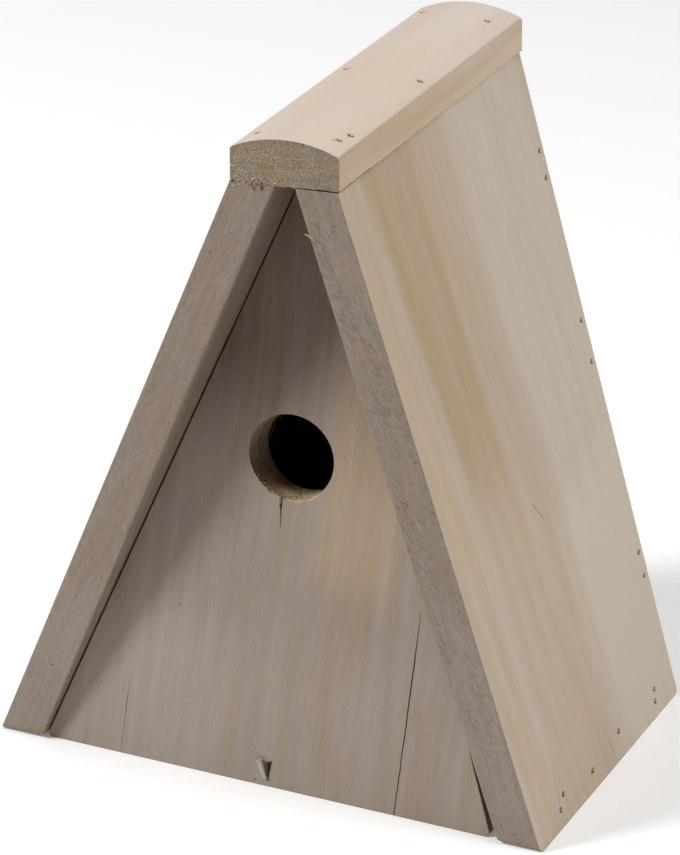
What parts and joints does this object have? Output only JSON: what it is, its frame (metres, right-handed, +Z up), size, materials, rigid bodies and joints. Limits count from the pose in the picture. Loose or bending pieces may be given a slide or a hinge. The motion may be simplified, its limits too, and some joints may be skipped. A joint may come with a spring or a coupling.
{
  "type": "nest box",
  "caption": "Triangular wooden nest box for small birds: two sloping side boards under a ridge cap, with a round entrance in the front panel.",
  "frame": {"origin": "middle of the overall box in plan, on the level that the box stands on", "axes": "+Z up to the ridge cap, -Y out of the front panel with the entrance, +X to the right as seen from the front"},
  "size_m": [0.21, 0.1886, 0.2549],
  "materials": {
    "board_wood": "rough planed pine, bleached, untreated",
    "panel_wood": "rough sawn pine, greyer, upright grain",
    "cap_wood": "planed pine, pale cream, grain along the ridge",
    "steel_nails": "dull steel with a brown film"
  },
  "bodies": {
    "root": {"back_panel": "board_wood", "floor_board": "board_wood", "front_nail": "steel_nails", "front_panel": "panel_wood", "left_back_brad_1": "steel_nails", "left_back_brad_2": "steel_nails", "left_back_brad_3": "steel_nails", "left_back_brad_4": "steel_nails", "left_back_brad_5": "steel_nails", "left_back_brad_6": "steel_nails", "left_cap_brad_1": "steel_nails", "left_cap_brad_2": "steel_nails", "left_cap_brad_3": "steel_nails", "left_floor_brad_1": "steel_nails", "left_floor_brad_2": "steel_nails", "left_floor_brad_3": "steel_nails", "left_floor_brad_4": "steel_nails", "left_floor_brad_5": "steel_nails", "left_floor_brad_6": "steel_nails", "left_side_board": "board_wood", "ridge_cap": "cap_wood", "right_back_brad_1": "steel_nails", "right_back_brad_2": "steel_nails", "right_back_brad_3": "steel_nails", "right_back_brad_4": "steel_nails", "right_back_brad_5": "steel_nails", "right_back_brad_6": "steel_nails", "right_cap_brad_1": "steel_nails", "right_cap_brad_2": "steel_nails", "right_cap_brad_3": "steel_nails", "right_cap_brad_4": "steel_nails", "right_floor_brad_1": "steel_nails", "right_floor_brad_2": "steel_nails", "right_floor_brad_3": "steel_nails", "right_floor_brad_4": "steel_nails", "right_floor_brad_5": "steel_nails", "right_floor_brad_6": "steel_nails", "right_side_board": "board_wood"}
  },
  "joints": []
}
